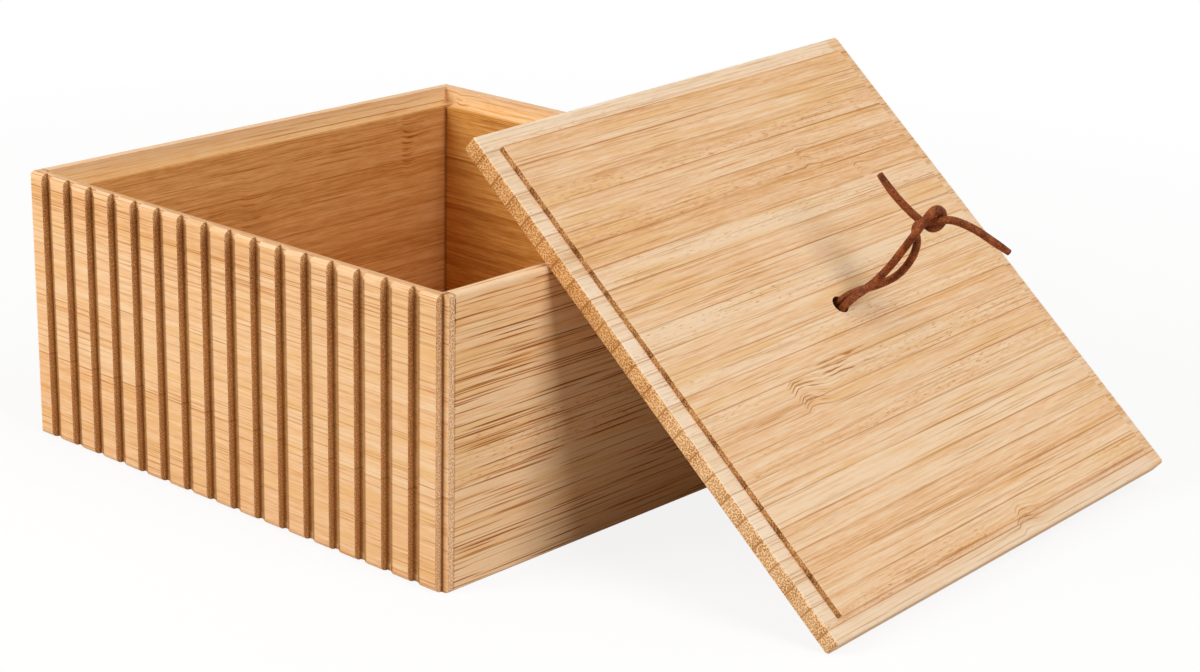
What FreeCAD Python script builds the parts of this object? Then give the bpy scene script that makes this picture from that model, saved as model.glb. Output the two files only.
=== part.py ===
"""Bamboo storage box with a fluted front, and its loose lid leaning on the right rim.

Millimetres, +Z up. The origin is on the floor under the middle of the base. The fluted front faces -Y and the
lid leans on the +X side.
"""
import FreeCAD
import Part
import Sketcher
import math
import os
from FreeCAD import Matrix, Placement, Rotation, Vector

SIZES = {
    # walls: lap is what the front and back keep over the ends of the sides, rim is what stands round the lid
    "box_width": 190.0,
    "box_depth": 190.0,
    "box_height": 90.0,
    "wall": 8.8,
    "lap": 4.8,
    "rim": 4.0,
    "recess": 6.0,
    "edge_round": 0.9,
    "overrun": 2.0,
    # fluted face
    "first_slat": 7.0,
    "flute_pitch": 11.28,
    "flute_width": 4.14,
    "flute_depth": 2.6,
    "face_round": 2.2,
    # base, in a rebate of the walls
    "base_thick": 5.0,
    "base_lip": 4.4,
    # lid: a board, and the field that stands above its border
    "lid_thick": 5.8,
    "lid_clearance": 0.4,
    "lid_corner": 1.2,
    "lid_round": 0.8,
    "field_inset": 6.3,
    "field_rise": 1.9,
    "field_corner": 0.8,
    "field_round": 0.4,
    "hole_width": 6.0,
    # how the lid leans: its slope, its turn in its own plane, and how far its low corner is in front of the middle
    "lean_angle": 41.3,
    "lid_turn": 1.93,
    "lid_forward": 47.6,
    "rest_gap": 0.3,
    # leather lace: its two strands stand side by side in the hole, over a stopper knot, turned from the slope
    "lace_width": 2.5,
    "lace_gap": 0.5,
    "lace_rise": 1.5,
    "lace_turn": 29.0,
    "stopper_width": 9.0,
    "stopper_height": 6.5,
    "stopper_round": 2.8,
}

# Lace routes beyond the hole, as (down the slope, along the grain, off the face) from the middle of its mouth.
# The front strand hitches round the rear one and leaves as the short tail.
FRONT_ROUTE = [
    (0.9, 1.6, 4.0), (0.7, 6.4, 6.8), (0.2, 10.1, 9.9), (-0.2, 11.3, 15.6), (-0.7, 11.2, 20.8), (-0.8, 8.7, 28.8),
    (-1.1, 8.3, 32.9), (-2.3, 10.1, 36.8), (-2.8, 11.6, 39.1), (-3.0, 13.0, 40.1), (-2.9, 14.9, 40.3),
    (-1.9, 16.5, 39.6), (-0.7, 17.0, 38.2), (0.3, 16.7, 36.5), (0.5, 16.1, 34.7), (-0.3, 15.3, 33.1),
    (-2.8, 15.0, 32.5), (-6.0, 13.8, 32.4), (-9.7, 12.1, 32.8), (-13.5, 10.4, 33.5), (-17.5, 8.8, 34.5),
    (-21.9, 7.4, 35.8),
]
# The rear strand passes behind it and through the hitch, and leaves as the long tail.
REAR_ROUTE = [
    (-1.0, 6.2, 3.2), (0.3, 11.8, 5.0), (1.7, 14.7, 8.6), (2.4, 16.6, 13.2), (1.7, 16.4, 20.2), (0.8, 12.9, 26.8),
    (-0.4, 12.1, 28.9), (-1.7, 11.9, 29.8), (-2.9, 11.5, 30.9), (-3.6, 11.5, 32.7), (-2.8, 12.6, 34.6),
    (-1.3, 13.5, 36.5), (0.2, 14.0, 38.5), (1.5, 14.6, 40.6), (3.7, 15.9, 42.0), (6.6, 17.7, 42.8), (9.6, 19.7, 43.2),
    (12.8, 21.8, 43.1), (16.0, 24.0, 43.0), (19.2, 26.5, 42.7),
]

ARC_SHARE = 0.45
VOLUME_SHARE = 0.01
SAMPLES_PER_WIDTH = 12
NEAR = 1e-5

doc = FreeCAD.newDocument("storage_box")
sheet = doc.addObject("Spreadsheet::Sheet", "Sizes")
for row, (alias, value) in enumerate(SIZES.items(), start=1):
    sheet.set(f"A{row}", alias)
    sheet.set(f"B{row}", str(value))
    sheet.setAlias(f"B{row}", alias)
doc.recompute()


def size(expression):
    """Number that an expression of sheet sizes gives."""
    return float(sheet.evalExpression(expression))


def same(a, b):
    """Whether two lengths agree."""
    return abs(a - b) < NEAR


def new_body(label):
    """Empty body under its node's name."""
    body = doc.addObject("PartDesign::Body", label)
    body.Label = label
    return body


def new_sketch(body, name, role, raised=None):
    """Sketch on one of the body's origin planes, raised along the plane's normal by an expression."""
    sketch = body.newObject("Sketcher::SketchObject", name)
    plane = next(item for item in body.Origin.OriginFeatures if item.Role == role)
    sketch.AttachmentSupport = (plane, [""])
    sketch.MapMode = "FlatFace"
    if raised:
        sketch.setExpression("AttachmentOffset.Base.z", raised)
    return sketch


def bind(sketch, kind, *args):
    """Adds a dimension whose last argument is an expression of sheet sizes."""
    *where, expression = args
    index = sketch.addConstraint(Sketcher.Constraint(kind, *where, size(expression)))
    sketch.setExpression(f"Constraints[{index}]", expression)


def pin(sketch, geometry, point, x, y):
    """Fixes a point of the sketch at expressions x and y."""
    for kind, axis, expression in (("DistanceX", -2, x), ("DistanceY", -1, y)):
        if expression == "0":
            sketch.addConstraint(Sketcher.Constraint("PointOnObject", geometry, point, axis))
        else:
            bind(sketch, kind, -1, 1, geometry, point, expression)


def draw_outline(sketch, corners):
    """Closed straight-sided outline through corners given as pairs of expressions."""
    points = [Vector(size(x), size(y), 0) for x, y in corners]
    for a, b in zip(points, points[1:] + points[:1]):
        sketch.addGeometry(Part.LineSegment(a, b), False)
    for index, (x, y) in enumerate(corners):
        following = (index + 1) % len(corners)
        sketch.addConstraint(Sketcher.Constraint("Coincident", index, 2, following, 1))
        pin(sketch, index, 1, x, y)


def draw_rectangle(sketch, left, low, right, high):
    """Rectangle between four expressions."""
    draw_outline(sketch, [(left, low), (right, low), (right, high), (left, high)])


def draw_circle(sketch, x, y, radius):
    """Circle about expressions x and y."""
    sketch.addGeometry(Part.Circle(Vector(size(x), size(y), 0), Vector(0, 0, 1), size(radius)), False)
    bind(sketch, "Radius", 0, radius)
    pin(sketch, 0, 3, x, y)


def pad(body, sketch, name, length, flipped=False):
    """Boss from a sketch, as long as an expression."""
    feature = body.newObject("PartDesign::Pad", name)
    feature.Profile = sketch
    feature.setExpression("Length", length)
    feature.Reversed = flipped
    doc.recompute()


def pocket(body, sketch, name, depth=None, flipped=False):
    """Cut from a sketch, as deep as an expression or right through, that must take material away."""
    before = body.Shape.Volume
    feature = body.newObject("PartDesign::Pocket", name)
    feature.Profile = sketch
    feature.Reversed = flipped
    if depth:
        feature.setExpression("Length", depth)
    else:
        feature.Type = "ThroughAll"
    doc.recompute()
    if body.Shape.Volume >= before:
        raise RuntimeError(f"{body.Label}: {name} cuts nothing")
    return feature


def round_edges(body, name, radius, chosen):
    """Rounds each edge whose two ends a and b pass the test chosen(a, b)."""
    tip = body.Tip
    ends = [(edge.Vertexes[0].Point, edge.Vertexes[-1].Point) for edge in tip.Shape.Edges]
    names = [f"Edge{index}" for index, pair in enumerate(ends, start=1) if chosen(*pair)]
    feature = body.newObject("PartDesign::Fillet", name)
    feature.Base = (tip, names)
    feature.setExpression("Radius", radius)
    doc.recompute()


def place(body, x, y, angle=0):
    """Stands a body at expressions x and y, turned about Z."""
    body.Placement = Placement(Vector(), Rotation(Vector(0, 0, 1), angle))
    body.setExpression("Placement.Base.x", x)
    body.setExpression("Placement.Base.y", y)


def end_board(label):
    """Front or back board, outer face on y = 0: rabbeted at both ends, with seats for the lid and the base."""
    body = new_body(label)
    plan = new_sketch(body, label + "_plan", "XY_Plane")
    draw_outline(plan, [
        ("0", "0"),
        ("Sizes.box_width", "0"),
        ("Sizes.box_width", "Sizes.lap"),
        ("Sizes.box_width - Sizes.wall", "Sizes.lap"),
        ("Sizes.box_width - Sizes.wall", "Sizes.wall"),
        ("Sizes.wall", "Sizes.wall"),
        ("Sizes.wall", "Sizes.lap"),
        ("0", "Sizes.lap"),
    ])
    pad(body, plan, label + "_board", "Sizes.box_height")
    past_wall = "Sizes.wall + Sizes.overrun"
    seat = new_sketch(body, label + "_seat", "XY_Plane", "Sizes.box_height")
    draw_rectangle(seat, "Sizes.rim", "Sizes.rim", "Sizes.box_width - Sizes.rim", past_wall)
    pocket(body, seat, label + "_recess", "Sizes.recess")
    foot = new_sketch(body, label + "_foot", "XY_Plane")
    draw_rectangle(foot, "Sizes.base_lip", "Sizes.base_lip", "Sizes.box_width - Sizes.base_lip", past_wall)
    pocket(body, foot, label + "_rebate", "Sizes.base_thick", flipped=True)
    return body


def side_board(label):
    """Side board, outer face on x = 0: one section along y, with the lid's ledge and the base's rebate."""
    body = new_body(label)
    section = new_sketch(body, label + "_section", "XZ_Plane")
    draw_outline(section, [
        ("0", "0"),
        ("Sizes.base_lip", "0"),
        ("Sizes.base_lip", "Sizes.base_thick"),
        ("Sizes.wall", "Sizes.base_thick"),
        ("Sizes.wall", "Sizes.box_height - Sizes.recess"),
        ("Sizes.rim", "Sizes.box_height - Sizes.recess"),
        ("Sizes.rim", "Sizes.box_height"),
        ("0", "Sizes.box_height"),
    ])
    pad(body, section, label + "_board", "Sizes.box_depth - 2 * Sizes.lap", flipped=True)
    round_edges(
        body, label + "_arris", "Sizes.edge_round",
        lambda a, b: same(a.x, 0) and same(b.x, 0) and same(a.z, b.z),
    )
    return body


right_end = size("Sizes.box_width")
rim_top = size("Sizes.box_height")


def across_end(a, b):
    """Whether an edge of an end board is the top of one of its two ends."""
    return same(a.z, rim_top) and same(b.z, rim_top) and same(a.x, b.x) and (same(a.x, 0) or same(a.x, right_end))


# Front: the board, its rounded face, then the flutes, of which the last runs out through the right end.
front = end_board("front_panel")
round_edges(
    front, "face_arris", "Sizes.face_round",
    lambda a, b: same(a.y, 0) and same(b.y, 0) and not (same(a.x, right_end) and same(b.x, right_end)),
)
round_edges(front, "end_arris", "Sizes.edge_round", across_end)
flute_plan = new_sketch(front, "flute_plan", "XY_Plane")
flute_end = "Sizes.first_slat + Sizes.flute_width"
draw_rectangle(flute_plan, "Sizes.first_slat", "-Sizes.overrun", flute_end, "Sizes.flute_depth")
flute = pocket(front, flute_plan, "flute", flipped=True)
flutes = front.newObject("PartDesign::LinearPattern", "flutes")
flutes.Originals = [flute]
flutes.Direction = (flute_plan, ["H_Axis"])
flute_count = "ceil((Sizes.box_width - Sizes.first_slat) / Sizes.flute_pitch)"
flutes.setExpression("Occurrences", flute_count)
flutes.setExpression("Length", f"Sizes.flute_pitch * ({flute_count} - 1)")
front.Tip = flutes
place(front, "-Sizes.box_width / 2", "-Sizes.box_depth / 2")

back = end_board("back_panel")
round_edges(
    back, "back_arris", "Sizes.edge_round",
    lambda a, b: across_end(a, b) or (same(a.y, 0) and same(b.y, 0)),
)
place(back, "Sizes.box_width / 2", "Sizes.box_depth / 2", angle=180)

left = side_board("left_side")
place(left, "-Sizes.box_width / 2", "-Sizes.box_depth / 2 + Sizes.lap")
right = side_board("right_side")
place(right, "Sizes.box_width / 2", "Sizes.box_depth / 2 - Sizes.lap", angle=180)

base = new_body("base_panel")
base_plan = new_sketch(base, "base_plan", "XY_Plane")
draw_rectangle(
    base_plan, "0", "0", "Sizes.box_width - 2 * Sizes.base_lip", "Sizes.box_depth - 2 * Sizes.base_lip",
)
pad(base, base_plan, "base_board", "Sizes.base_thick")
place(base, "-Sizes.box_width / 2 + Sizes.base_lip", "-Sizes.box_depth / 2 + Sizes.base_lip")

# Lid, lying flat in its own frame: x runs down the slope, y along the grain, the underside is on z = 0.
lid_across = "(Sizes.box_width - 2 * Sizes.rim - 2 * Sizes.lid_clearance)"
lid_along = "(Sizes.box_depth - 2 * Sizes.rim - 2 * Sizes.lid_clearance)"
lid = new_body("lid_board")
lid_plan = new_sketch(lid, "lid_plan", "XY_Plane")
draw_rectangle(lid_plan, "0", "0", lid_across, lid_along)
pad(lid, lid_plan, "lid_blank", "Sizes.lid_thick")
round_edges(lid, "lid_corners", "Sizes.lid_corner", lambda a, b: not same(a.z, b.z))
round_edges(lid, "lid_arris", "Sizes.lid_round", lambda a, b: same(a.z, b.z))
field_plan = new_sketch(lid, "field_plan", "XY_Plane", "Sizes.lid_thick")
draw_rectangle(
    field_plan, "Sizes.field_inset", "Sizes.field_inset",
    f"{lid_across} - Sizes.field_inset", f"{lid_along} - Sizes.field_inset",
)
pad(lid, field_plan, "field", "Sizes.field_rise")
lid_face = "(Sizes.lid_thick + Sizes.field_rise)"
face_height = size(lid_face)
round_edges(
    lid, "field_corners", "Sizes.field_corner",
    lambda a, b: not same(a.z, b.z) and (same(a.z, face_height) or same(b.z, face_height)),
)
round_edges(lid, "field_arris", "Sizes.field_round", lambda a, b: same(a.z, face_height) and same(b.z, face_height))
hole_plan = new_sketch(lid, "hole_plan", "XY_Plane", lid_face)
draw_circle(hole_plan, f"{lid_across} / 2", f"{lid_along} / 2", "Sizes.hole_width / 2")
pocket(lid, hole_plan, "lace_hole")


def lean():
    """Placement of the lid: its underside along the right rim, its front low corner on the floor.

    The slope is square to (sin, 0, cos) of the lean angle, and the lid is turned in that plane.
    """
    slope = math.radians(size("Sizes.lean_angle"))
    turn = math.radians(size("Sizes.lid_turn"))
    outward = Vector(math.sin(slope), 0, math.cos(slope))
    downhill = Vector(math.cos(slope), 0, -math.sin(slope))
    level = Vector(0, 1, 0)
    x_axis = downhill * math.cos(turn) + level * math.sin(turn)
    y_axis = level * math.cos(turn) - downhill * math.sin(turn)
    arris = size("Sizes.edge_round")
    arris_middle = Vector(size("Sizes.box_width / 2") - arris, 0, size("Sizes.box_height") - arris)
    reach = arris_middle.dot(outward) + arris + size("Sizes.rest_gap")
    low_corner = Vector(reach / outward.x, -size("Sizes.lid_forward"), 0)
    origin = low_corner - x_axis * size(lid_across)
    turned = Matrix(
        x_axis.x, y_axis.x, outward.x, origin.x,
        x_axis.y, y_axis.y, outward.y, origin.y,
        x_axis.z, y_axis.z, outward.z, origin.z,
        0, 0, 0, 1,
    )
    above_floor = lid.Shape.transformGeometry(turned).optimalBoundingBox().ZMin
    settle = Placement(downhill * (above_floor / math.sin(slope)), Rotation())
    return settle * Placement(turned)


def cord_path(points):
    """Wire of straight runs and tangent arcs through points, with each arc's radius.

    An arc's radius is ARC_SHARE of the shorter run beside its point over the tangent of half its turn.
    """
    edges = []
    radii = []
    start = points[0]
    for before, point, after in zip(points, points[1:], points[2:]):
        run_in = point - before
        run_out = after - point
        reach = ARC_SHARE * min(run_in.Length, run_out.Length)
        half_turn = run_in.getAngle(run_out) / 2
        radius = reach / math.tan(half_turn)
        run_in.normalize()
        run_out.normalize()
        bisector = run_out - run_in
        bisector.normalize()
        first = point - run_in * reach
        last = point + run_out * reach
        middle = point + bisector * (radius / math.cos(half_turn) - radius)
        edges.append(Part.LineSegment(start, first).toShape())
        edges.append(Part.Arc(first, middle, last).toShape())
        radii.append(radius)
        start = last
    edges.append(Part.LineSegment(start, points[-1]).toShape())
    return Part.Wire(edges), radii


def lace(label, side, route):
    """Round lace from the stopper up through the hole on one side (+1 or -1) of its middle, then along its route."""
    mouth = Vector(size(f"{lid_across} / 2"), size(f"{lid_along} / 2"), size(lid_face))
    offset = side * size("(Sizes.lace_width + Sizes.lace_gap) / 2")
    turn = math.radians(size("Sizes.lace_turn"))
    across, along = offset * math.cos(turn), -offset * math.sin(turn)
    stand = [Vector(across, along, -size(lid_face)), Vector(across, along, size("Sizes.lace_rise"))]
    points = [mouth + point for point in stand + [Vector(*place) for place in route]]
    path, radii = cord_path(points)
    width = size("Sizes.lace_width")
    ring = Part.Circle(points[0], points[1] - points[0], width / 2)
    feature = doc.addObject("Part::Feature", label)
    feature.Label = label
    feature.Shape = path.makePipeShell([Part.Wire(ring.toShape())], True, False)
    expected = math.pi * (width / 2) ** 2 * path.Length
    print(label, "length", round(path.Length, 2), "radii", [round(radius, 1) for radius in radii])
    print(label, "volume over section times length", round(feature.Shape.Volume / expected, 4))
    if abs(feature.Shape.Volume - expected) > VOLUME_SHARE * expected:
        raise RuntimeError(f"{label}: its volume is off")
    return feature, path.discretize(int(path.Length / width * SAMPLES_PER_WIDTH))


def least_gap(points, others, width, skip=0):
    """Least clear gap between two sampled cords, or of one with itself beyond skip samples along it."""
    pairs = (a.distanceToPoint(b) for i, a in enumerate(points) for b in others[i + skip if skip else 0:])
    return min(pairs) - width


lace_front, front_points = lace("lace_front", 1, FRONT_ROUTE)
lace_rear, rear_points = lace("lace_rear", -1, REAR_ROUTE)
lace_width = size("Sizes.lace_width")
print("lace gaps", [
    round(least_gap(front_points, rear_points, lace_width), 2),
    round(least_gap(front_points, front_points, lace_width, 3 * SAMPLES_PER_WIDTH), 2),
    round(least_gap(rear_points, rear_points, lace_width, 3 * SAMPLES_PER_WIDTH), 2),
])

stopper = new_body("lace_stopper")
stopper_plan = new_sketch(stopper, "stopper_plan", "XY_Plane")
draw_circle(stopper_plan, f"{lid_across} / 2", f"{lid_along} / 2", "Sizes.stopper_width / 2")
pad(stopper, stopper_plan, "stopper_blank", "Sizes.stopper_height", flipped=True)
stopper_floor = -size("Sizes.stopper_height")
round_edges(
    stopper, "stopper_arris", "Sizes.stopper_round",
    lambda a, b: same(a.z, stopper_floor) and same(b.z, stopper_floor),
)

leaning = lean()
for piece in (lid, lace_front, lace_rear, stopper):
    piece.Placement = leaning
doc.recompute()

pieces = [front, back, left, right, base, lid, lace_front, lace_rear, stopper]
for item in doc.Objects:
    if "Invalid" in item.State or "Error" in item.State:
        raise RuntimeError(f"{item.Label} failed to build")
for piece in pieces:
    if piece.Shape.isNull() or not piece.Shape.isValid():
        raise RuntimeError(f"{piece.Label} has no valid shape")
os.makedirs("parts", exist_ok=True)
for piece in pieces:
    piece.Shape.exportStep(f"parts/{piece.Label}.step")
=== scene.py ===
"""Looks of the bamboo storage box: bamboo boards, a leather lace with its stopper knot, camera and light."""
import math

import bpy
import numpy as np
from mathutils import Matrix, Vector


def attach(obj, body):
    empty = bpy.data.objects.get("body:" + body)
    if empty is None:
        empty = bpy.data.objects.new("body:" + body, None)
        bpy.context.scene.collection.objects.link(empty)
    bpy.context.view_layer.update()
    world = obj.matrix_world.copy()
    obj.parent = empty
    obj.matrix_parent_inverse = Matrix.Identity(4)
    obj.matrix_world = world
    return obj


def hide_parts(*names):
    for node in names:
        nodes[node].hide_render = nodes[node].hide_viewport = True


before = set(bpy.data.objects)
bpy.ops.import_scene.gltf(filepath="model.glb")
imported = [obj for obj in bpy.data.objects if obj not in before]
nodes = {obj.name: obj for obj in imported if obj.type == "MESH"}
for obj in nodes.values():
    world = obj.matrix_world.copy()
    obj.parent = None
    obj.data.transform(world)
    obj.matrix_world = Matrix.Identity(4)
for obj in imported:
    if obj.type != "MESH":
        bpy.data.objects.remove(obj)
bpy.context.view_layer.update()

MM = 0.001
scene = bpy.context.scene

# Camera, in the photograph's 1200 by 672 frame
FOCAL_PX = 2594.37
FRAME_PX = 1200
SENSOR_MM = 36.0
CAMERA_PLACE = (0.58205, -0.57868, 0.30579)
CAMERA_YAW = math.radians(-41.537)
CAMERA_PITCH = math.radians(18.234)
CAMERA_ROLL = math.radians(1.390)

# Lamps: name, place, aim, width and height in metres, power in watts
LAMPS = (
    ("right_lamp", (1.5, 0.0, 1.15), (0.05, 0, 0.05), 0.8, 2.1, 22),
    ("top_lamp", (-0.1, 0.5, 1.65), (0, 0, 0.05), 1.4, 1.4, 6),
    ("front_lamp", (-0.64, -1.48, 0.81), (0, 0, 0.05), 0.9, 0.9, 25),
)

# Surroundings: strength and colour of their light; the floor's half width in metres, its share of plain white
# near the box, the distances over which that grows to all, and its colours as seen and as it sends light
AMBIENT = 0.15
FILL = (1.0, 0.87, 0.69)
FLOOR_REACH = 4.0
FLOOR_GLOW = 0.87
FLOOR_FADE_MM = (250.0, 650.0)
FLOOR_SEEN = (0.95, 0.95, 0.95)
FLOOR_BOUNCE = ((0.50, 0.45, 0.38), (0.54, 0.49, 0.42))

# Box, in millimetres: half its width, its height, and how far from its middle lie the inner faces of its
# walls, the inside of its rim, and the joint of a side with the front panel
HALF_BOX = 95.0
BOX_TOP = 90.0
INNER_FACE = 86.2
RIM_INSIDE = 91.0
FRONT_JOINT = 90.2

# Front panel, in millimetres: its slats and flutes, and where the last flute begins, open to the right
FIRST_SLAT = 7.0
SLAT_PITCH = 11.28
SLATS = 17
FLUTE_WIDTH = 4.14
FLUTE_DEPTH = 2.6
OPEN_FLUTE = FIRST_SLAT + (SLATS - 1) * SLAT_PITCH - HALF_BOX

# Lid, in millimetres: its side, and the height of its border and of its raised field
LID_SIDE = 181.2
BORDER_TOP = 5.8
FIELD_TOP = 7.7

# How the lid leans: its slope, and its turn in its own plane
LEAN = math.radians(41.3)
TURN = math.radians(1.93)

# Lace, in millimetres from the middle of the hole's mouth: down the slope, along the grain, off the face
LACE_WIDTH = 2.5
LACE_ROOT = -10.2
FRONT_ROUTE = [
    (1.4, -0.7, LACE_ROOT), (1.4, -0.7, 1.1),
    (0.9, 1.6, 4.0), (0.7, 6.4, 6.8), (0.2, 10.1, 9.9), (-0.2, 11.3, 15.6), (-0.7, 11.2, 20.8),
    (-0.8, 8.7, 28.8), (-1.1, 8.3, 32.9), (-2.3, 10.1, 36.6), (-2.8, 11.6, 38.6), (-3.0, 13.0, 39.4),
    (-2.8, 14.8, 39.6), (-1.9, 16.2, 39.0), (-0.7, 16.7, 37.9), (0.3, 16.7, 36.5), (0.5, 16.1, 34.7),
    (-0.3, 15.3, 33.1), (-2.8, 15.0, 32.5), (-6.0, 13.8, 32.4), (-9.7, 12.1, 32.8), (-13.5, 10.4, 33.5),
    (-17.5, 8.8, 34.5), (-21.9, 7.4, 35.8),
]
REAR_ROUTE = [
    (-1.2, 0.7, LACE_ROOT), (-1.2, 0.7, 1.2),
    (-1.0, 6.2, 3.2), (0.3, 11.8, 5.0), (1.7, 14.7, 8.6), (2.4, 16.6, 13.2), (1.7, 16.4, 20.2),
    (0.8, 12.9, 26.8), (-0.4, 12.1, 28.9), (-1.7, 11.9, 29.8), (-2.9, 11.5, 30.9), (-3.6, 11.5, 32.7),
    (-2.8, 12.6, 34.6), (-1.3, 13.5, 36.5), (0.2, 14.0, 38.5), (1.5, 14.6, 40.6), (3.7, 15.9, 42.0),
    (6.6, 17.7, 42.8), (9.6, 19.7, 43.2), (12.8, 21.8, 43.1), (16.0, 24.0, 43.0), (19.2, 26.5, 42.7),
]

# Where the lace is pressed wider in the knot, or narrower at a cut end: point of the route, share of width
FRONT_SWELL = {10: 1.2, 11: 1.32, 12: 1.38, 13: 1.36, 14: 1.24, 15: 1.1, 23: 0.8}
REAR_SWELL = {21: 0.8}

# How finely the stopper knot is drawn: rings along it, points in a ring
KNOT_RINGS = 180
KNOT_SIDES = 18

# Faces of bamboo, in linear colour: pale, middle and dark
LID_FACE = ((0.93, 0.70, 0.475), (0.87, 0.556, 0.315), (0.72, 0.37, 0.148))
FRONT_FACE = ((0.92, 0.65, 0.40), (0.87, 0.522, 0.265), (0.74, 0.353, 0.126))
SIDE_FACE = ((0.94, 0.67, 0.42), (0.91, 0.555, 0.28), (0.77, 0.375, 0.128))
FRESH_CUT = ((0.95, 0.78, 0.60), (0.90, 0.69, 0.48), (0.74, 0.46, 0.225))
UNDERSIDE = ((0.86, 0.57, 0.31), (0.80, 0.45, 0.20), (0.64, 0.30, 0.095))
# Painted light: the top edge of a wall, paler for the light from above.
LIT_RIM = ((0.93, 0.68, 0.45), (0.89, 0.58, 0.33), (0.76, 0.42, 0.17))
RECESS = ((0.94, 0.74, 0.46), (0.91, 0.62, 0.32), (0.79, 0.43, 0.15))
# Painted shade: the inner faces of the walls and the whole base, darker and more orange for the dimmer light
# inside the box.
SHADED_INSIDE = ((0.92, 0.58, 0.27), (0.79, 0.42, 0.145), (0.57, 0.25, 0.063))
# Painted shade: a side's inner face, darker towards the back of the box.
DEEPER_INSIDE_SHADE = ((0.72, 0.39, 0.15), (0.60, 0.275, 0.076), (0.42, 0.16, 0.031))
# Painted shade: the back wall's inner face, darker for the dimmer light inside the box.
SHADED_BACK_INSIDE = ((0.86, 0.51, 0.175), (0.72, 0.365, 0.09), (0.50, 0.21, 0.039))
# Painted shade: dark lines in inner corners, on the slats' rounded left edges and in the open flute's corner.
CORNER_SHADE = ((0.42, 0.20, 0.06), (0.34, 0.15, 0.042), (0.26, 0.10, 0.025))
# Painted shade: the floors of the narrow flutes, darker than the slat faces.
SHADED_FLUTE_FLOOR = ((0.68, 0.40, 0.18), (0.61, 0.325, 0.125), (0.47, 0.225, 0.072))
# Painted shade: the dark inside of the lace's hole.
HOLE_SHADE = ((0.22, 0.09, 0.03), (0.17, 0.07, 0.022), (0.12, 0.05, 0.016))
JOINT = ((0.34, 0.17, 0.08), (0.30, 0.14, 0.06), (0.26, 0.11, 0.045))
GOLD = (0.84, 0.50, 0.185)

# End grain of bamboo: pale and dark, and for a board's own ends how strong the fibre dots are
LID_END = ((0.89, 0.53, 0.235), (0.74, 0.385, 0.135), 0.95)
PANEL_END = ((0.95, 0.655, 0.425), (0.88, 0.555, 0.33), 0.6)
LOW_END = ((0.95, 0.66, 0.385), (0.88, 0.535, 0.26))
# Painted shade: the low wall of the lid's raised field, dark brown end grain.
FIELD_WALL_SHADE = ((0.76, 0.44, 0.195), (0.25, 0.10, 0.03))
FLUTE_WALL = ((0.97, 0.68, 0.37), (0.60, 0.33, 0.135))
OPEN_WALL = ((0.88, 0.58, 0.35), (0.68, 0.40, 0.215))
# Painted shade: the dark corner of a flute where its wall meets its floor.
FLUTE_CORNER_SHADE = ((0.44, 0.22, 0.082), (0.34, 0.16, 0.055))

# What a full-strength line or fibre dot multiplies the colour under it by
LINE_TINT = (0.36, 0.17, 0.07)
DOT_TINT = (0.40, 0.26, 0.15)

# Leather, in linear colour, by tone
LEATHER = ((0.2, (0.055, 0.012, 0.003)), (0.5, (0.222, 0.048, 0.0088)), (0.8, (0.40, 0.12, 0.034)))

# Tones of the lid's strips from its upper edge: first strip, tone from 0 pale to 1 dark
LID_BANDS = (
    (0, 0.3), (1, 0.56), (2, 0.46), (4, 0.32), (5, 0.56), (6, 0.6), (7, 0.16), (8, 0.42), (10, 0.02),
    (11, 0.31), (12, 0.2), (13, 0.45), (14, 0.25), (15, 0.51), (16, 0.31), (18, 0.11), (19, 0.32), (20, 0.57),
    (21, 0.26), (22, 0.28), (24, 0.3),
)

# Knuckles of the culm: place along and across the grain, length, width, lift and pitch in mm, strength
LID_KNUCKLES = (
    (46.5, 110.0, 20.0, 2.6, 1.6, 1.1, 0.95), (47.5, 115.0, 16.0, 2.2, 1.3, 1.0, 1.0),
    (64.0, 108.0, 34.0, 4.2, 0.1, 1.5, 0.7), (141.0, 49.0, 9.0, 2.6, 0.7, 1.7, 0.45),
    (119.0, 39.5, 11.0, 3.2, 0.7, 1.7, 0.3), (98.0, 175.0, 15.0, 3.4, 1.2, 1.5, 0.4),
)
LEFT_KNUCKLES = ((64.0, 75.0, 15.0, 10.0, 0.5, 2.3, 0.55), (-14.0, 61.0, 24.0, 8.0, 0.8, 2.6, 0.3))
BACK_KNUCKLES = ((-85.0, 86.0, 9.0, 2.6, 0.5, 1.8, 0.45),)


# The lid's own frame

def lid_axes():
    """Unit axes of the leaning lid: down the slope, along the grain, off the face.

    The face is square to (sin, 0, cos) of the slope, and the other two turn in that plane.
    """
    off = Vector((math.sin(LEAN), 0, math.cos(LEAN)))
    fall = Vector((math.cos(LEAN), 0, -math.sin(LEAN)))
    level = Vector((0, 1, 0))
    down = fall * math.cos(TURN) + level * math.sin(TURN)
    along = level * math.cos(TURN) - fall * math.sin(TURN)
    return down, along, off


def extents(node, axes):
    """Least and greatest reach of a node's vertices along each axis, as dot products."""
    mesh = nodes[node].data
    points = np.empty(len(mesh.vertices) * 3, np.float32)
    mesh.vertices.foreach_get("co", points)
    reach = points.reshape(-1, 3).astype(float) @ np.array([list(axis) for axis in axes]).T
    return reach.min(0), reach.max(0)


LID_AXES = lid_axes()
LID_DOWN, LID_ALONG, LID_OFF = LID_AXES
lid_low, lid_high = extents("lid_board", LID_AXES)


def on_lid(down, along, off):
    """Point of the lid's own frame, in metres from its upper front corner on the underside."""
    place = np.array((down, along, off)) + lid_low
    return LID_DOWN * place[0] + LID_ALONG * place[1] + LID_OFF * place[2]


LID_CORNER = on_lid(0, 0, 0)
LID_SIZE = lid_high - lid_low
HOLE_MOUTH = on_lid(LID_SIZE[0] / 2, LID_SIZE[1] / 2, LID_SIZE[2])


def from_mouth(point):
    """World place of a point given in millimetres from the middle of the hole's mouth."""
    down, along, off = (value * MM for value in point)
    return HOLE_MOUTH + LID_DOWN * down + LID_ALONG * along + LID_OFF * off


# Shader wires

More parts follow.
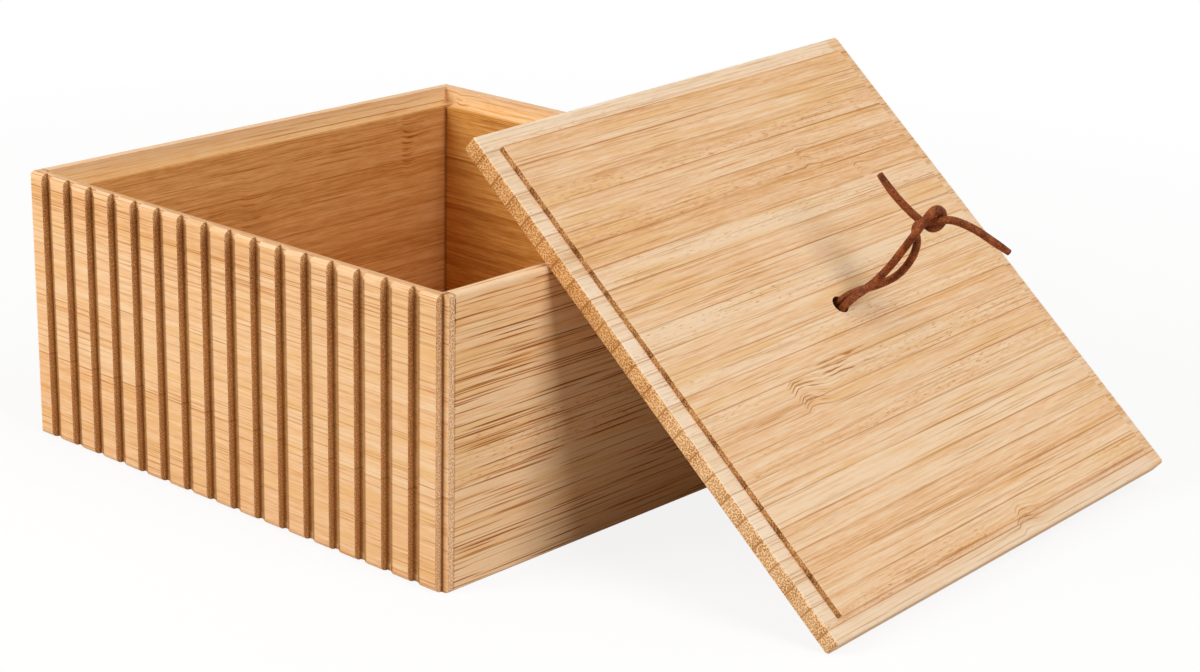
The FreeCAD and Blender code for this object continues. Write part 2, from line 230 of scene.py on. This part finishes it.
class Wire:
    """A shader socket. Arithmetic on it adds Math nodes, and make() adds any other node."""

    def __init__(self, tree, socket=None):
        self.tree, self.socket = tree, socket

    def make(self, kind, settings=None, inputs=None, output=0):
        """Adds a node, sets its settings, then its sockets' values or links, and returns one output."""
        node = self.tree.nodes.new("ShaderNode" + kind)
        for key, value in (settings or {}).items():
            if key == "stops":
                elements = node.color_ramp.elements
                while len(elements) < len(value):
                    elements.new(1.0)
                for element, (place, colour) in zip(elements, value):
                    element.position = place
                    element.color = (*colour, 1.0)
            elif key == "interpolation":
                node.color_ramp.interpolation = value
            else:
                setattr(node, key, value)
        for key, value in (inputs or {}).items():
            if isinstance(value, Wire):
                self.tree.links.new(value.socket, node.inputs[key])
            else:
                node.inputs[key].default_value = value
        return Wire(self.tree, node.outputs[output])

    def maths(self, operation, *others):
        return self.make("Math", {"operation": operation}, dict(enumerate((self, *others))))

    def __add__(self, other):
        return self.maths("ADD", other)

    __radd__ = __add__

    def __mul__(self, other):
        return self.maths("MULTIPLY", other)

    __rmul__ = __mul__

    def __sub__(self, other):
        return self.maths("SUBTRACT", other)

    def __rsub__(self, other):
        return self.make("Math", {"operation": "SUBTRACT"}, {0: other, 1: self})

    def __truediv__(self, other):
        return self.maths("DIVIDE", other)

    def between(self, low, high):
        """0 below low, 1 above high, smooth in between; high may be the lesser."""
        return self.make("MapRange", {"interpolation_type": "SMOOTHSTEP"}, {0: self, 1: low, 2: high})

    def blend(self, first, second):
        """Colour mixed from first to second by this value."""
        def plain(colour):
            return colour if isinstance(colour, Wire) else (*colour, 1.0)
        settings = {"data_type": "RGBA", "clamp_factor": True}
        return self.make("Mix", settings, {0: self, 6: plain(first), 7: plain(second)}, 2)

    def ramp(self, *stops):
        """Colour from (place, colour) stops."""
        return self.make("ValToRGB", {"stops": stops}, {0: self})

    def deepen(self, colour, tint):
        """Colour times tint to the power of this value, so a faint line keeps the hue of a strong one."""
        stops = [(step / 3, tuple(value ** (step / 3) for value in tint)) for step in range(4)]
        settings = {"data_type": "RGBA", "blend_type": "MULTIPLY"}
        return self.make("Mix", settings, {0: 1.0, 6: colour, 7: self.ramp(*stops)}, 2)

    def dot(self, axis, origin=(0, 0, 0)):
        """Distance in millimetres of this vector from origin, along an axis."""
        away = self.make("VectorMath", {"operation": "SUBTRACT"}, {0: self, 1: tuple(origin)})
        scaled = tuple(value / MM for value in axis)
        return self.make("VectorMath", {"operation": "DOT_PRODUCT"}, {0: away, 1: scaled}, 1)

    def noise(self, x, y, z, detail=2.0, roughness=0.5):
        """Noise from 0 to 1 at a point of three values."""
        point = self.make("CombineXYZ", None, {0: x, 1: y, 2: z})
        inputs = {"Vector": point, "Scale": 1.0, "Detail": detail, "Roughness": roughness}
        return self.make("TexNoise", None, inputs)

    def chance(self, value):
        """A random number from 0 to 1 that belongs to a value."""
        return self.make("TexWhiteNoise", {"noise_dimensions": "1D"}, {"W": value})

    def cells(self, x, y, randomness=1.0):
        """Distance from the nearest point of a flat field of scattered points, one in each unit cell."""
        point = self.make("CombineXYZ", None, {0: x, 1: y})
        inputs = {"Vector": point, "Scale": 1.0, "Randomness": randomness}
        return self.make("TexVoronoi", {"voronoi_dimensions": "2D"}, inputs)

    def beside(self, name):
        """Another output of the node that this socket belongs to."""
        return Wire(self.tree, self.socket.node.outputs[name])


def new_material(name):
    """Empty material with its output and a Principled shader: (material, wire to build on, shader node)."""
    material = bpy.data.materials.new(name)
    material.use_nodes = True
    tree = material.node_tree
    tree.nodes.clear()
    shader = tree.nodes.new("ShaderNodeBsdfPrincipled")
    output = tree.nodes.new("ShaderNodeOutputMaterial")
    tree.links.new(shader.outputs[0], output.inputs[0])
    return material, Wire(tree), shader


def feed(shader, **inputs):
    """Links wires to a shader's sockets, or sets their plain values."""
    for name, value in inputs.items():
        socket = shader.inputs[name.replace("_", " ")]
        if isinstance(value, Wire):
            value.tree.links.new(value.socket, socket)
        else:
            socket.default_value = value


# Materials, with rates of noise per millimetre

def knuckle(across, grain, wobble, seed, shape):
    """How far a knuckle of the culm lifts the fibres, and how dark it draws them.

    It lifts them sharply, lets them fall back along its length, and draws them pitch apart until they break.
    """
    along_at, across_at, length, width, lift, pitch, strength = shape
    run = (grain - along_at) / length
    far = (across - across_at) / (width * 2.2)
    bulge = run.between(-0.04, 0.18) * run.between(0.9, 0.22) * (far * far).between(1.0, 0.1) * lift
    level = across + bulge - across_at
    near = ((level / width) * (level / width)).between(1.0, 0.45)
    stray = across.noise(level * 0.5, grain * 0.12, seed + 2.0, 1.0) - 0.5
    ripple = (level + wobble * 1.2 + stray * 1.6) / pitch
    ridge = (ripple - ripple.maths("FLOOR") - 0.5).maths("ABSOLUTE")
    broken = across.noise(level * 0.7, grain * 0.12, seed, 1.0).between(0.42, 0.6)
    solid = broken.maths("MAXIMUM", run.between(0.4, 0.2) * 0.6)
    ends = run.between(-0.08, 0.1) * run.between(1.0, 0.2)
    return bulge, ridge.between(0.24, 0.08) * solid * ends * near * strength


def bamboo(
    name, origin, axes, strip, first, bands, lines, face_colours, end_colours, patches=(), end_patches=(),
    knuckles=(), seed=0.0,
):
    """Laminated bamboo as a solid pattern, in millimetres along its axes: across, along the grain, through.

    Strips of one width lie side by side across the grain, from first on. Each has its own tone from bands,
    pairs of (first strip, tone from 0 pale to 1 dark), and is denser towards the skin of the culm, at one of
    its edges. lines are the strengths of hairlines, fibres, dashes, bold streaks and flecks. The end grain
    shows fibre bundles as dots. patches and end_patches are (colours, mask of across, grain and through) for
    faces and end grain of another kind, or painted with light or shade.
    """
    material, wire, shader = new_material(name)
    place = wire.make("TexCoord", output="Object")
    normal = wire.make("TexCoord", output="Normal")
    across, grain, through = (place.dot(axis, origin) for axis in axes)

    strips = (across - first) / strip
    index = strips.maths("FLOOR")
    part = strips - index
    seam = part.maths("MINIMUM", 1.0 - part) * strip
    chance = wire.chance(index + seed)
    other = wire.chance(index + seed + 0.5)
    count = bands[-1][0] + 1.0
    tones = [(at / count, (tone, tone, tone)) for at, tone in bands]
    band = wire.make("ValToRGB", {"stops": tones, "interpolation": "CONSTANT"}, {0: (index + 0.5) / count})
    turned = other.maths("GREATER_THAN", 0.5)
    skin = (part + turned * (1.0 - 2.0 * part)).between(0.35, 1.0)

    sway = wire.noise(grain * 0.008, across * 0.02, seed, 1.0) - 0.5
    wobble = wire.noise(grain * 0.05, across * 0.3, through * 0.3 + seed, 1.0) - 0.5
    straight = across + through + sway * 1.2 + wobble * 0.35
    knot_lines = []
    for shape in knuckles:
        bulge, dark = knuckle(across, grain, wobble, seed, shape)
        straight = straight + bulge
        knot_lines.append(dark)

    lay = straight + chance * 50.0
    medium = wire.noise(lay * 0.42, grain * 0.006, seed + 4.0, 2.0)
    broad = wire.noise(across * 0.1, grain * 0.012, through * 0.1 + seed, 1.0)
    fine = wire.noise(lay * 1.3, grain * 0.012, other * 30.0, 3.0, 0.6).between(0.3, 0.7)
    weft = wire.noise(lay * 1.2, grain * 0.07, seed + 6.0, 2.0, 0.65).between(0.25, 0.75)
    speck = wire.noise(lay * 2.2, grain * 0.28, seed, 2.0, 0.6)
    gather = wire.noise(lay * 0.2, grain * 0.012, seed + 9.0, 2.0).between(0.36, 0.6)
    gold = wire.noise(lay * 0.25, grain * 0.016, seed + 17.0, 2.0).between(0.5, 0.68)

    def lenses(spacing, length, edge, core, shift):
        """Lens-shaped lines, one in each cell, spacing apart, each with a strength of its own."""
        cells = wire.cells(lay / spacing + shift, grain / length + other * 40.0 + shift)
        strength = wire.make("SeparateColor", None, {0: cells.beside("Color")})
        return cells.between(edge, core) * strength.between(0.1, 0.9)

    hair, fibre, dash, bold, fleck = lines
    drawn = seam.between(0.3, 0.08) * (0.05 + 0.45 * gather)
    for layer in (
        lenses(spacing=0.7, length=260.0, edge=0.36, core=0.10, shift=0.0) * (0.25 + 0.75 * skin) * hair,
        lenses(spacing=1.0, length=95.0, edge=0.26, core=0.08, shift=13.0) * (0.4 + 0.6 * gather) * fibre,
        lenses(spacing=1.4, length=60.0, edge=0.21, core=0.06, shift=41.0) * (0.5 + 0.5 * gather) * dash,
        lenses(spacing=2.0, length=120.0, edge=0.18, core=0.05, shift=29.0) * bold,
        speck.between(0.55, 0.72) * chance.between(0.45, 0.75) * gather * fleck,
        *knot_lines,
    ):
        drawn = drawn.maths("MAXIMUM", layer)

    tone = band
    for layer, middle, share in (
        (chance, 0.5, 0.14), (medium, 0.5, 0.78), (broad, 0.5, 0.5), (fine, 0.5, 0.3), (weft, 0.5, 0.5),
        (speck, 0.5, 0.5), (skin, 0.35, 0.16),
    ):
        tone = tone + (layer - middle) * share

    def toned(colours):
        pale, middle, dark = colours
        return tone.ramp((0.0, pale), (0.5, middle), (1.0, dark))

    face = (gold * 0.45).blend(toned(face_colours), GOLD)
    for colours, mask in patches:
        face = mask(across, grain, through).blend(face, toned(colours))
    face = drawn.deepen(face, LINE_TINT)

    bundles = wire.cells(across / 0.66 + chance * 30.0, through / 0.6 + other * 30.0, 0.9)
    grit = wire.noise(across * 1.9, through * 1.9, seed, 2.0)
    dots = (bundles + (grit - 0.5) * 0.6).between(0.55, 0.15) * (0.7 + 0.3 * skin)
    dots = dots.maths("MAXIMUM", seam.between(0.45, 0.1) * 0.7)
    end_tone = 0.2 + skin * 0.4 + chance * 0.2 + (broad - 0.5) * 0.5
    mottled = end_tone + (grit - 0.5) * 2.6
    end_pale, end_dark, dotted = end_colours
    end_face = end_tone.blend(end_pale, end_dark)
    for colours, mask in end_patches:
        end_face = mask(across, grain, through).blend(end_face, mottled.blend(*colours))
    end_face = (dots * dotted).deepen(end_face, DOT_TINT)
    facing = wire.make("VectorMath", {"operation": "DOT_PRODUCT"}, {0: normal, 1: tuple(axes[1])}, 1)
    sawn = facing.maths("ABSOLUTE").between(0.45, 0.8)

    height = fine * 0.4 - drawn * 0.7 - sawn * dots
    bump = wire.make("Bump", None, {"Strength": 0.3, "Distance": 0.0001, "Height": height})
    rough = 0.62 + (fine - 0.5) * 0.1 + (speck - 0.5) * 0.2 + sawn * 0.15
    feed(shader, Base_Color=sawn.blend(face, end_face), Roughness=rough, Normal=bump, Specular_IOR_Level=0.08)
    return material


def leather(name):
    """Vegetable-tanned lace: blotches of sienna over a fine speckle, with a grain of small cells."""
    material, wire, shader = new_material(name)
    place = wire.make("TexCoord", output="Object")
    x, y, z = (place.dot(axis) for axis in np.eye(3))
    blotch = wire.noise(x * 0.25, y * 0.25, z * 0.25, 3.0, 0.6)
    speckle = wire.noise(x * 2.4, y * 2.4, z * 2.4, 3.0, 0.65)
    point = wire.make("CombineXYZ", None, {0: x * 3.4, 1: y * 3.4, 2: z * 3.4})
    cells = wire.make("TexVoronoi", None, {"Vector": point, "Scale": 1.0})
    tone = (blotch - 0.5) * 1.1 + (speckle - 0.5) * 1.6 + 0.5
    height = cells * 0.6 + speckle * 0.8
    bump = wire.make("Bump", None, {"Strength": 0.5, "Distance": 0.0002, "Height": height})
    rough = 0.5 + speckle * 0.2
    feed(shader, Base_Color=tone.ramp(*LEATHER), Roughness=rough, Normal=bump, Specular_IOR_Level=0.2)
    return material


def seen_rays(wire):
    """1 for rays from the camera, and for those that gloss and clear pieces send on, 0 for light."""
    seen = wire.make("LightPath", output="Is Camera Ray")
    for ray in ("Is Glossy Ray", "Is Transmission Ray"):
        seen = seen.maths("MAXIMUM", wire.make("LightPath", output=ray))
    return seen


def white_floor(name):
    """Pale floor: a share of it diffuse, so it keeps the shadow, and the rest plain white to the camera."""
    material, wire, shader = new_material(name)
    seen = seen_rays(wire)
    place = wire.make("TexCoord", output="Object")
    cloud = wire.noise(*(place.dot(axis) * 0.01 for axis in np.eye(3)))
    away = place.dot((1, 0, 0)).maths("POWER", 2.0) + place.dot((0, 1, 0)).maths("POWER", 2.0)
    fade = away.maths("SQRT").between(*FLOOR_FADE_MM)
    feed(shader, Base_Color=seen.blend(cloud.blend(*FLOOR_BOUNCE), FLOOR_SEEN), Roughness=0.9)
    tree = material.node_tree
    glow = tree.nodes.new("ShaderNodeEmission")
    mixed = tree.nodes.new("ShaderNodeMixShader")
    tree.links.new((seen * (FLOOR_GLOW + fade * (1 - FLOOR_GLOW))).socket, mixed.inputs[0])
    tree.links.new(shader.outputs[0], mixed.inputs[1])
    tree.links.new(glow.outputs[0], mixed.inputs[2])
    output = next(node for node in tree.nodes if node.type == "OUTPUT_MATERIAL")
    tree.links.new(mixed.outputs[0], output.inputs[0])
    return material


# Masks of the boards' faces, in millimetres. On a wall, across is its height and through runs from the box's
# middle out. On the lid, across runs down its slope and through is its thickness. grain is along the strips.

def inner_wall(across, grain, through):
    """1 on the inner face of a wall, which lies nearer the middle than the recess for the lid."""
    return through.maths("ABSOLUTE").between(INNER_FACE + 2.2, INNER_FACE + 1.4)


def lit_rim_top(across, grain, through):
    """1 on the top edge of a wall, fading in over its rounding, where it is painted paler as painted light
    from above.
    """
    return across.between(BOX_TOP - 2.2, BOX_TOP)


def recess(across, grain, through):
    """1 on the walls and ledge of the recess for the lid."""
    away = through.maths("ABSOLUTE")
    return away.between(RIM_INSIDE + 1.5, RIM_INSIDE + 0.6) * away.between(INNER_FACE + 1.7, INNER_FACE + 2.4)


def shade_towards_back(across, grain, through):
    """The inner face of a side, with painted shade that grows darker towards the back."""
    return inner_wall(across, grain, through) * grain.between(-30.0, 70.0) * 0.6


def inner_corner_shade(across, grain, through):
    """A dark line of painted shade up the inner face of a wall, in the corner where it meets the next one."""
    close = grain.maths("ABSOLUTE").between(INNER_FACE - 1.4, INNER_FACE - 0.2)
    return inner_wall(across, grain, through) * close * 0.7


def front_joint(across, grain, through):
    """A broken dark line where a side meets the front panel, more open towards its top."""
    gap = across.noise(across * 0.7, 0.0, 0.0, 2.0).between(0.4, 0.52)
    strength = 0.2 + 0.3 * gap + 0.5 * gap * across.between(76.0, 84.0)
    return (grain + FRONT_JOINT).between(0.7, 0.3) * strength


def in_flute(across, grain, through):
    """1 behind the front face in the closed flutes, so on their walls and floors."""
    depth = through + HALF_BOX
    closed = grain.between(OPEN_FLUTE - 1.08, OPEN_FLUTE - 1.68)
    return depth.between(0.2, 1.0) * depth.between(FLUTE_DEPTH + 0.3, FLUTE_DEPTH + 0.1) * closed


def flute_corner_shade(across, grain, through):
    """A dark line of painted shade on a flute's wall close to its floor."""
    return in_flute(across, grain, through) * (through + HALF_BOX).between(1.5, 2.5) * 0.8


def flute_floor_shade(across, grain, through):
    """1 on the floor of the closed flutes, away from the rounded edges, which is painted darker as painted
    shade.
    """
    clear = across.between(BOX_TOP - 1.4, BOX_TOP - 3.0) * across.between(1.4, 3.0)
    return in_flute(across, grain, through) * clear


def slat_edge_shade(across, grain, through):
    """A soft brown line of painted shade along the rounded left edge of every slat."""
    turns = (grain + HALF_BOX - FIRST_SLAT) / SLAT_PITCH
    onto_slat = (turns - turns.maths("FLOOR")) * SLAT_PITCH - FLUTE_WIDTH
    line = onto_slat.between(0.95, 0.5) * onto_slat.between(-0.4, -0.2)
    on_face = (through + HALF_BOX).between(0.6, 0.3)
    clear = across.between(BOX_TOP - 1.0, BOX_TOP - 2.0) * across.between(1.0, 2.0)
    return line * on_face * clear * grain.between(OPEN_FLUTE - 2.48, OPEN_FLUTE - 3.48) * 0.85


def open_wall(across, grain, through):
    """1 on the wall of the last slat, in the flute that is open to the right."""
    past = grain - OPEN_FLUTE
    return past.between(1.72, 0.92) * past.between(-0.88, -0.28)


def open_corner_shade(across, grain, through):
    """A dark line of painted shade where the open flute's wall meets its floor, on both of them."""
    close = (grain - OPEN_FLUTE).between(0.92, 0.32) * (through + HALF_BOX).between(1.7, 2.6)
    return open_wall(across, grain, through) * close * 0.85


def lid_border(across, grain, through):
    """The border round the raised field, cut lower and paler: less so at the lower edge, not at the back."""
    above = through - BORDER_TOP
    on_top = above.between(0.5, 0.1) * above.between(-1.3, -0.6)
    along_edges = grain.between(LID_SIDE - 5.6, LID_SIDE - 7.6)
    return on_top * along_edges * (1.0 - 0.35 * across.between(LID_SIDE - 9.2, LID_SIDE - 6.2))


def lid_underside(across, grain, through):
    """1 on the underside of the lid."""
    return through.between(0.7, 0.2)


def field_wall(across, grain, through):
    """1 on the low wall of the raised field, which is painted dark as painted shade."""
    return through.between(BORDER_TOP - 0.1, BORDER_TOP + 0.2)


def hole_shade(across, grain, through):
    """1 in the hole for the lace, by the square of the distance from its axis: painted shade, dark inside the
    hole.
    """
    down, along = across - LID_SIDE / 2, grain - LID_SIDE / 2
    below_face = through.between(FIELD_TOP - 0.1, FIELD_TOP - 0.5)
    return (down * down + along * along).between(11.5, 9.5) * below_face


def low_edge(across, grain, through):
    """0 at the lid's upper edge, 1 over its lower part."""
    return across.between(60.0, 130.0)


def everywhere(across, grain, through):
    """1 all over."""
    return through * 0.0 + 1.0


# Camera and light

def photo_camera():
    """Camera from its yaw, pitch and roll: forward is (sin yaw cos pitch, cos yaw cos pitch, -sin pitch)."""
    forward = Vector((
        math.sin(CAMERA_YAW) * math.cos(CAMERA_PITCH),
        math.cos(CAMERA_YAW) * math.cos(CAMERA_PITCH),
        -math.sin(CAMERA_PITCH),
    ))
    level = Vector((math.cos(CAMERA_YAW), -math.sin(CAMERA_YAW), 0))
    rise = level.cross(forward)
    right = level * math.cos(CAMERA_ROLL) + rise * math.sin(CAMERA_ROLL)
    up = rise * math.cos(CAMERA_ROLL) - level * math.sin(CAMERA_ROLL)
    data = bpy.data.cameras.new("photo_camera")
    data.sensor_width = SENSOR_MM
    data.lens = FOCAL_PX / FRAME_PX * SENSOR_MM
    data.clip_start, data.clip_end = 0.01, 50
    camera = bpy.data.objects.new("photo_camera", data)
    turned = Matrix((right, up, -forward)).transposed().to_4x4()
    camera.matrix_world = Matrix.Translation(CAMERA_PLACE) @ turned
    scene.collection.objects.link(camera)
    scene.camera = camera


def softbox(name, place, aim, width, height, power):
    """Rectangular area lamp at a place, facing an aim point."""
    data = bpy.data.lights.new(name, "AREA")
    data.shape = "RECTANGLE"
    data.size, data.size_y = width, height
    data.energy = power
    lamp = bpy.data.objects.new(name, data)
    lamp.location = place
    lamp.rotation_euler = (Vector(aim) - Vector(place)).to_track_quat("-Z", "Y").to_euler()
    scene.collection.objects.link(lamp)


def new_mesh(name, points, faces, material):
    """Mesh object at the origin from arrays of points and faces, shaded smooth."""
    mesh = bpy.data.meshes.new(name)
    mesh.from_pydata(points.tolist(), [], faces.tolist())
    mesh.polygons.foreach_set("use_smooth", np.ones(len(mesh.polygons), bool))
    mesh.materials.append(material)
    mesh.update()
    piece = bpy.data.objects.new(name, mesh)
    scene.collection.objects.link(piece)
    return piece


def studio():
    """White floor, white surroundings and soft lamps."""
    corners = FLOOR_REACH * np.array([(-1, -1, 0), (1, -1, 0), (1, 1, 0), (-1, 1, 0)])
    floor = new_mesh("floor", corners, np.array([(0, 1, 2, 3)]), white_floor("floor_white"))
    world = bpy.data.worlds.new("surroundings")
    scene.world = world
    world.use_nodes = True
    tree = world.node_tree
    seen = seen_rays(Wire(tree))
    background = next(node for node in tree.nodes if node.type == "BACKGROUND")
    feed(background, Color=seen.blend(FILL, (1, 1, 1)), Strength=AMBIENT + seen * (1 - AMBIENT))
    for lamp in LAMPS:
        softbox(*lamp)
    scene.view_settings.view_transform = "Standard"


# Lace

def lace_strand(name, route, swell, material):
    """Round lace along a smooth NURBS line with the route as control points, its width scaled by swell."""
    data = bpy.data.curves.new(name, "CURVE")
    data.dimensions = "3D"
    data.bevel_depth = LACE_WIDTH / 2 * MM
    data.bevel_resolution = 6
    data.resolution_u = 10
    data.use_fill_caps = True
    spline = data.splines.new("NURBS")
    spline.points.add(len(route) - 1)
    places = np.ones((len(route), 4), np.float32)
    places[:, :3] = [list(from_mouth(point)) for point in route]
    spline.points.foreach_set("co", places.ravel())
    for index, share in swell.items():
        spline.points[index].radius = share
    spline.order_u = 3
    spline.use_endpoint_u = True
    data.materials.append(material)
    strand = bpy.data.objects.new(name, data)
    scene.collection.objects.link(strand)
    return strand


def tube(path, radius, sides):
    """Closed tube round a closed path, of rings square to the path's tangent.

    With tangent T and fixed axis Z, the ring's directions are N = Z x T and B = T x N, and each point of it
    is path + radius (N cos a + B sin a).
    """
    tangent = np.roll(path, -1, 0) - np.roll(path, 1, 0)
    tangent /= np.linalg.norm(tangent, axis=1, keepdims=True)
    first = np.cross((0.0, 0.0, 1.0), tangent)
    first /= np.linalg.norm(first, axis=1, keepdims=True)
    second = np.cross(tangent, first)
    turn = np.linspace(0, 2 * np.pi, sides, endpoint=False)[None, :, None]
    points = path[:, None] + radius * (first[:, None] * np.cos(turn) + second[:, None] * np.sin(turn))
    row, column = np.meshgrid(np.arange(len(path)), np.arange(sides), indexing="ij")
    here, there = row * sides, (row + 1) % len(path) * sides
    beside = (column + 1) % sides
    corners = (here + column, there + column, there + beside, here + beside)
    return points.reshape(-1, 3), np.stack(corners, -1).reshape(-1, 4)


def stopper_knot(material):
    """Tight knot of the lace under the lid: a flattened trefoil.

    Its line is (sin t + 2 sin 2t, cos t - 2 cos 2t, -sin 3t), so it spreads 6 wide and rises 2 high.
    """
    turn = np.linspace(0, 2 * np.pi, KNOT_RINGS, endpoint=False)
    low, high = extents("lace_stopper", LID_AXES)
    spread = ((high - low)[0] - LACE_WIDTH * MM) / 6
    rise = ((high - low)[2] - LACE_WIDTH * MM) / 2
    local = np.stack([
        spread * (np.sin(turn) + 2 * np.sin(2 * turn)),
        spread * (np.cos(turn) - 2 * np.cos(2 * turn)),
        -rise * np.sin(3 * turn),
    ], -1)
    points, faces = tube(local, LACE_WIDTH / 2 * MM, KNOT_SIDES)
    axes = np.array([list(axis) for axis in LID_AXES])
    middle = (low + high) / 2
    return new_mesh("stopper_knot", (points + middle) @ axes, faces, material)


photo_camera()

lace_leather = leather("lace_leather")
knot = stopper_knot(lace_leather)
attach(knot, "lid")
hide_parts("lace_stopper")

front_strand = lace_strand("front_strand", FRONT_ROUTE, FRONT_SWELL, lace_leather)
rear_strand = lace_strand("rear_strand", REAR_ROUTE, REAR_SWELL, lace_leather)
for strand, node in ((front_strand, "lace_front"), (rear_strand, "lace_rear")):
    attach(strand, "lid")
    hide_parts(node)

# Boards

X, Y, Z = Vector((1, 0, 0)), Vector((0, 1, 0)), Vector((0, 0, 1))
ORIGIN = Vector((0, 0, 0))
# A wall's edges: painted shade in its inner corners, the recess for the lid, and painted light on its top
# edge.
WALL_EDGES = ((CORNER_SHADE, inner_corner_shade), (RECESS, recess), (LIT_RIM, lit_rim_top))
boards = {
    "lid_board": bamboo(
        "lid_bamboo", LID_CORNER, LID_AXES, strip=7.72, first=-1.2, bands=LID_BANDS,
        lines=(0.28, 0.34, 0.3, 0.2, 0.35), face_colours=LID_FACE, end_colours=LID_END,
        patches=((FRESH_CUT, lid_border), (UNDERSIDE, lid_underside), (HOLE_SHADE, hole_shade)),
        end_patches=((LOW_END, low_edge), (FIELD_WALL_SHADE, field_wall), (HOLE_SHADE[:2], hole_shade)),
        knuckles=LID_KNUCKLES, seed=3.0,
    ),
    "front_panel": bamboo(
        "front_bamboo", ORIGIN, (Z, X, Y), strip=61.0, first=-31.8, bands=((0, 0.58), (1, 0.4), (2, 0.4)),
        lines=(0.45, 0.4, 0.34, 0.16, 0.15), face_colours=FRONT_FACE, end_colours=PANEL_END,
        patches=(
            (SHADED_FLUTE_FLOOR, flute_floor_shade), (SHADED_INSIDE, inner_wall), *WALL_EDGES, (CORNER_SHADE, slat_edge_shade),
            (CORNER_SHADE, open_corner_shade),
        ),
        end_patches=(
            (FLUTE_WALL, in_flute), (FLUTE_CORNER_SHADE, flute_corner_shade), (OPEN_WALL, open_wall),
            (FLUTE_CORNER_SHADE, open_corner_shade),
        ),
        seed=11.0,
    ),
    "right_side": bamboo(
        "right_bamboo", ORIGIN, (Z, Y, X), strip=16.4, first=-1.8,
        bands=((0, 0.1), (2, 0.2), (4, 0.32), (5, 0.4)),
        lines=(0.9, 1.1, 1.2, 1.1, 0.4), face_colours=SIDE_FACE, end_colours=PANEL_END,
        patches=((SHADED_INSIDE, inner_wall), *WALL_EDGES, (JOINT, front_joint)), seed=23.0,
    ),
    "left_side": bamboo(
        "left_bamboo", ORIGIN, (Z, Y, X), strip=17.8, first=-4.0,
        bands=((0, 0.5), (2, 0.55), (4, 0.45), (5, 0.4)),
        lines=(0.2, 0.25, 0.25, 0.3, 0.2), face_colours=SIDE_FACE, end_colours=PANEL_END,
        patches=((SHADED_INSIDE, inner_wall), (DEEPER_INSIDE_SHADE, shade_towards_back), *WALL_EDGES, (JOINT, front_joint)),
        knuckles=LEFT_KNUCKLES, seed=31.0,
    ),
    "back_panel": bamboo(
        "back_bamboo", ORIGIN, (Z, X, Y), strip=17.8, first=-6.0,
        # The strips darken towards the bottom: painted shade for the light that falls off low in the box.
        bands=((0, 0.86), (2, 0.76), (3, 0.6), (4, 0.5), (5, 0.4)),
        lines=(0.2, 0.25, 0.25, 0.3, 0.2), face_colours=SIDE_FACE, end_colours=PANEL_END,
        patches=((SHADED_BACK_INSIDE, inner_wall), *WALL_EDGES), knuckles=BACK_KNUCKLES, seed=43.0,
    ),
    "base_panel": bamboo(
        "base_bamboo", ORIGIN, (Y, X, Z), strip=15.3, first=-90.6,
        bands=((0, 0.45), (4, 0.5), (8, 0.4), (12, 0.5)),
        lines=(0.3, 0.3, 0.3, 0.3, 0.3), face_colours=SIDE_FACE, end_colours=PANEL_END,
        # The base takes the painted shade of the inside all over.
        patches=((SHADED_INSIDE, everywhere),), seed=57.0,
    ),
}
for node, material in boards.items():
    nodes[node].material_slots[0].material = material

studio()
